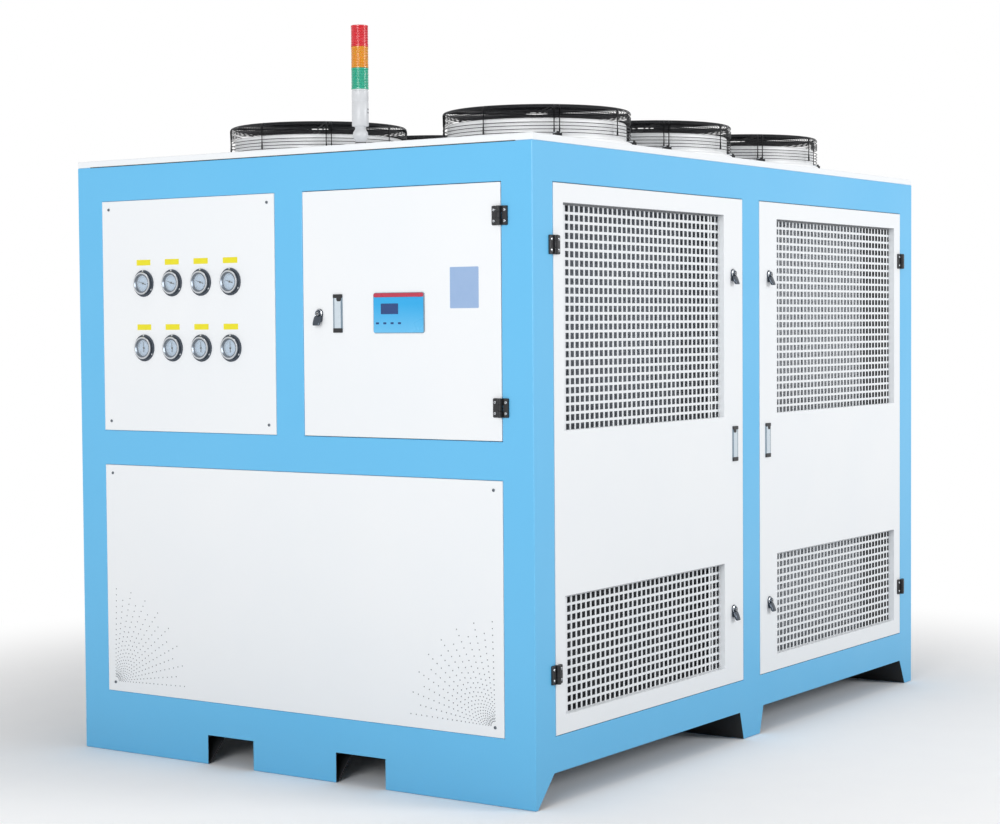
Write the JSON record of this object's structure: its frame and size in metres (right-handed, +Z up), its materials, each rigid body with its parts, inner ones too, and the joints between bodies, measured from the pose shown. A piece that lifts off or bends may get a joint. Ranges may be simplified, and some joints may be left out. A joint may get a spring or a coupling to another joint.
{
  "type": "air cooled water chiller",
  "caption": "Packaged air cooled water chiller: blue steel frame, white panels, perforated side doors, pressure gauges, electric door, signal tower and roof fans under wire guards",
  "frame": {"origin": "on the ground under the middle of the cabinet", "axes": "+Z up; -Y is the front with the gauges and the electric door; +X is the side with the hinged grille doors; Y is the length of the cabinet"},
  "size_m": [1.911, 2.821, 2.401],
  "materials": {
    "blue_paint": "semi-gloss sky blue powder coat",
    "white_paint": "fine-texture white powder coat",
    "galvanised_sheet": "dull galvanised sheet",
    "chrome": "bright plated metal",
    "stainless_steel": "turned stainless steel",
    "dial_face": "pale printed dial under glass",
    "black_wire": "black coated wire",
    "fan_blade": "black painted blades",
    "black_plastic": "black moulded",
    "controller_face": "printed film keypad",
    "grey_plastic": "pale grey moulded",
    "green_lens": "ribbed green lens",
    "amber_lens": "ribbed amber lens",
    "red_lens": "ribbed red lens",
    "coil_fin": "dull aluminium fins"
  },
  "bodies": {
    "cabinet": {"front_foot_beam": "blue_paint", "middle_foot_beam": "blue_paint", "rear_foot_beam": "blue_paint", "base_rails": "blue_paint", "floor_pan": "galvanised_sheet", "corner_posts": "blue_paint", "middle_posts": "blue_paint", "top_rails": "blue_paint", "end_rails": "blue_paint", "end_stiles": "blue_paint", "gauge_panel": "white_paint", "pressure_gauges": "chrome", "gauge_dials": "dial_face", "front_lower_panel": "white_paint", "rear_panels": "white_paint", "water_ports": "stainless_steel", "roof_panel": "white_paint", "fan_collars": "white_paint", "fan_housings": "galvanised_sheet", "fan_guards_left": "black_wire", "fan_guards_right": "black_wire", "frame_hinge_leaves": "black_plastic", "electric_box": "galvanised_sheet", "left_doors": "white_paint", "left_grilles": "white_paint", "left_fittings": "black_plastic", "tower_base": "grey_plastic", "tower_green_lens": "green_lens", "tower_amber_lens": "amber_lens", "tower_red_lens": "red_lens", "condenser_coils": "coil_fin"},
    "electric_door_body": {"electric_door": "white_paint", "electric_door_fittings": "black_plastic", "controller": "controller_face"},
    "electric_latch_body": {"electric_door_latch": "chrome"},
    "right_front_door_body": {"right_front_door": "white_paint", "right_front_grilles": "white_paint", "right_front_fittings": "black_plastic"},
    "right_front_upper_latch_body": {"right_front_latch_upper": "chrome"},
    "right_front_lower_latch_body": {"right_front_latch_lower": "chrome"},
    "right_rear_door_body": {"right_rear_door": "white_paint", "right_rear_grilles": "white_paint", "right_rear_fittings": "black_plastic"},
    "right_rear_upper_latch_body": {"right_rear_latch_upper": "chrome"},
    "right_rear_lower_latch_body": {"right_rear_latch_lower": "chrome"},
    "fan_left_front": {"fan_rotor_left_front": "fan_blade"},
    "fan_left_middle": {"fan_rotor_left_middle": "fan_blade"},
    "fan_left_rear": {"fan_rotor_left_rear": "fan_blade"},
    "fan_right_front": {"fan_rotor_right_front": "fan_blade"},
    "fan_right_middle": {"fan_rotor_right_middle": "fan_blade"},
    "fan_right_rear": {"fan_rotor_right_rear": "fan_blade"}
  },
  "joints": [
    {"name": "electric_door_hinge", "type": "hinge", "parent": "cabinet", "child": "electric_door_body", "pos_m": [0.8205, -1.394, 1.49], "axis": [0, 0, 1], "range_deg": [0, 120]},
    {"name": "right_front_door_hinge", "type": "hinge", "parent": "cabinet", "child": "right_front_door_body", "pos_m": [0.944, -1.2705, 1.04], "axis": [0, 0, -1], "range_deg": [0, 120]},
    {"name": "right_rear_door_hinge", "type": "hinge", "parent": "cabinet", "child": "right_rear_door_body", "pos_m": [0.944, 1.2705, 1.04], "axis": [0, 0, 1], "range_deg": [0, 120]},
    {"name": "electric_latch_turn", "type": "hinge", "parent": "electric_door_body", "child": "electric_latch_body", "pos_m": [0.1245, -1.385, 1.493], "axis": [0, -1, 0], "range_deg": [0, 90]},
    {"name": "right_front_upper_latch_turn", "type": "hinge", "parent": "right_front_door_body", "child": "right_front_upper_latch_body", "pos_m": [0.935, -0.135, 1.624], "axis": [1, 0, 0], "range_deg": [0, 90]},
    {"name": "right_front_lower_latch_turn", "type": "hinge", "parent": "right_front_door_body", "child": "right_front_lower_latch_body", "pos_m": [0.935, -0.135, 0.465], "axis": [1, 0, 0], "range_deg": [0, 90]},
    {"name": "right_rear_upper_latch_turn", "type": "hinge", "parent": "right_rear_door_body", "child": "right_rear_upper_latch_body", "pos_m": [0.935, 0.135, 1.624], "axis": [1, 0, 0], "range_deg": [-90, 0]},
    {"name": "right_rear_lower_latch_turn", "type": "hinge", "parent": "right_rear_door_body", "child": "right_rear_lower_latch_body", "pos_m": [0.935, 0.135, 0.465], "axis": [1, 0, 0], "range_deg": [-90, 0]},
    {"name": "fan_left_front_spin", "type": "hinge", "parent": "cabinet", "child": "fan_left_front", "pos_m": [-0.468, -0.645, 1.96], "axis": [0, 0, 1], "continuous": true},
    {"name": "fan_left_middle_spin", "type": "hinge", "parent": "cabinet", "child": "fan_left_middle", "pos_m": [-0.468, 0.06, 1.96], "axis": [0, 0, 1], "continuous": true},
    {"name": "fan_left_rear_spin", "type": "hinge", "parent": "cabinet", "child": "fan_left_rear", "pos_m": [-0.468, 0.765, 1.96], "axis": [0, 0, 1], "continuous": true},
    {"name": "fan_right_front_spin", "type": "hinge", "parent": "cabinet", "child": "fan_right_front", "pos_m": [0.468, -0.645, 1.96], "axis": [0, 0, 1], "continuous": true},
    {"name": "fan_right_middle_spin", "type": "hinge", "parent": "cabinet", "child": "fan_right_middle", "pos_m": [0.468, 0.06, 1.96], "axis": [0, 0, 1], "continuous": true},
    {"name": "fan_right_rear_spin", "type": "hinge", "parent": "cabinet", "child": "fan_right_rear", "pos_m": [0.468, 0.765, 1.96], "axis": [0, 0, 1], "continuous": true}
  ]
}
